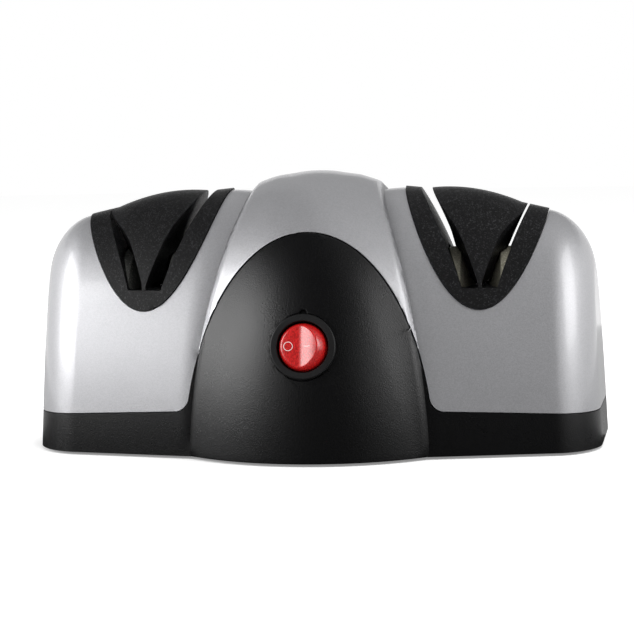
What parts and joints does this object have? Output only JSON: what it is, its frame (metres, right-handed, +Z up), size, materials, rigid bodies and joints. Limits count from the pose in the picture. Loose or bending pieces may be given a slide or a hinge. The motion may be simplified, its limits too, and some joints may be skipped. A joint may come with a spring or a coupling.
{
  "type": "electric knife sharpener",
  "caption": "Bench-top electric knife sharpener with two knife guides, motor-driven grinding wheels in pairs and a round rocker switch on the front dome.",
  "frame": {"origin": "middle of the footprint, on the bench that the feet rest on", "axes": "+X along the machine to the right as seen from the front, -Y to the front with the switch, +Z up"},
  "size_m": [0.215, 0.109, 0.1015],
  "materials": {
    "silver_paint": "silver metallic paint with fine flake on moulded ABS",
    "black_moulding": "black ABS with a fine satin grain",
    "grained_black": "black plastic with a coarser spark grain",
    "foot_rubber": "soft black rubber",
    "plated_steel": "zinc-plated steel",
    "ground_steel": "ground shaft steel",
    "core_steel": "stacked laminations of electrical steel",
    "copper": "enamelled copper wire and drawn copper bars",
    "sintered_bronze": "oil-filled sintered bronze",
    "die_cast": "die-cast alloy, as cast",
    "brown_moulding": "brown phenolic moulding",
    "carbon": "pressed carbon graphite",
    "capacitor_yellow": "moulded box",
    "white_nylon": "natural nylon",
    "coarse_abrasive": "bonded coarse abrasive",
    "fine_abrasive": "bonded fine abrasive",
    "switch_black": "black nylon",
    "red_rocker": "clear red polycarbonate",
    "tinned_brass": "tinned brass blades",
    "lamp_glass": "neon lamp"
  },
  "bodies": {
    "housing": {"base_shell": "black_moulding", "top_shell": "silver_paint", "guide_left": "grained_black", "guide_right": "grained_black", "foot_front_left": "foot_rubber", "foot_front_right": "foot_rubber", "foot_rear_left": "foot_rubber", "foot_rear_right": "foot_rubber", "housing_screws": "plated_steel", "cord_outlet_bush": "foot_rubber", "suppression_capacitor": "capacitor_yellow", "stator_core": "core_steel", "field_coil_front": "copper", "field_coil_rear": "copper", "bracket_left": "die_cast", "bracket_right": "die_cast", "bush_left": "sintered_bronze", "bush_right": "sintered_bronze", "motor_bolts": "plated_steel", "motor_nuts": "plated_steel", "motor_screws": "plated_steel", "brush_holder_lower": "brown_moulding", "brush_holder_upper": "brown_moulding", "brush_lower": "carbon", "brush_upper": "carbon", "brush_spring_lower": "plated_steel", "brush_spring_upper": "plated_steel", "switch_body": "switch_black", "switch_terminals": "tinned_brass", "switch_lamp": "lamp_glass"},
    "rotor": {"motor_shaft": "ground_steel", "armature_core": "core_steel", "armature_winding": "copper", "commutator": "copper", "cooling_fan": "white_nylon", "coarse_wheel_inner": "coarse_abrasive", "coarse_wheel_outer": "coarse_abrasive", "fine_wheel_inner": "fine_abrasive", "fine_wheel_outer": "fine_abrasive", "coarse_hub_inner": "white_nylon", "coarse_hub_outer": "white_nylon", "fine_hub_inner": "white_nylon", "fine_hub_outer": "white_nylon", "wheel_spacer_left": "plated_steel", "wheel_spacer_right": "plated_steel", "thrust_collar_left": "plated_steel", "thrust_collar_right": "plated_steel", "shaft_nut_left": "plated_steel", "shaft_nut_right": "plated_steel"},
    "rocker": {"switch_rocker": "red_rocker"}
  },
  "joints": [
    {"name": "rotor_spin", "type": "hinge", "parent": "housing", "child": "rotor", "pos_m": [0, 0.002, 0.048], "axis": [1, 0, 0], "continuous": true},
    {"name": "switch_rock", "type": "hinge", "parent": "housing", "child": "rocker", "pos_m": [0, -0.04755, 0.04084], "axis": [0, 0.226, 0.9741], "range_deg": [0, 20]}
  ]
}
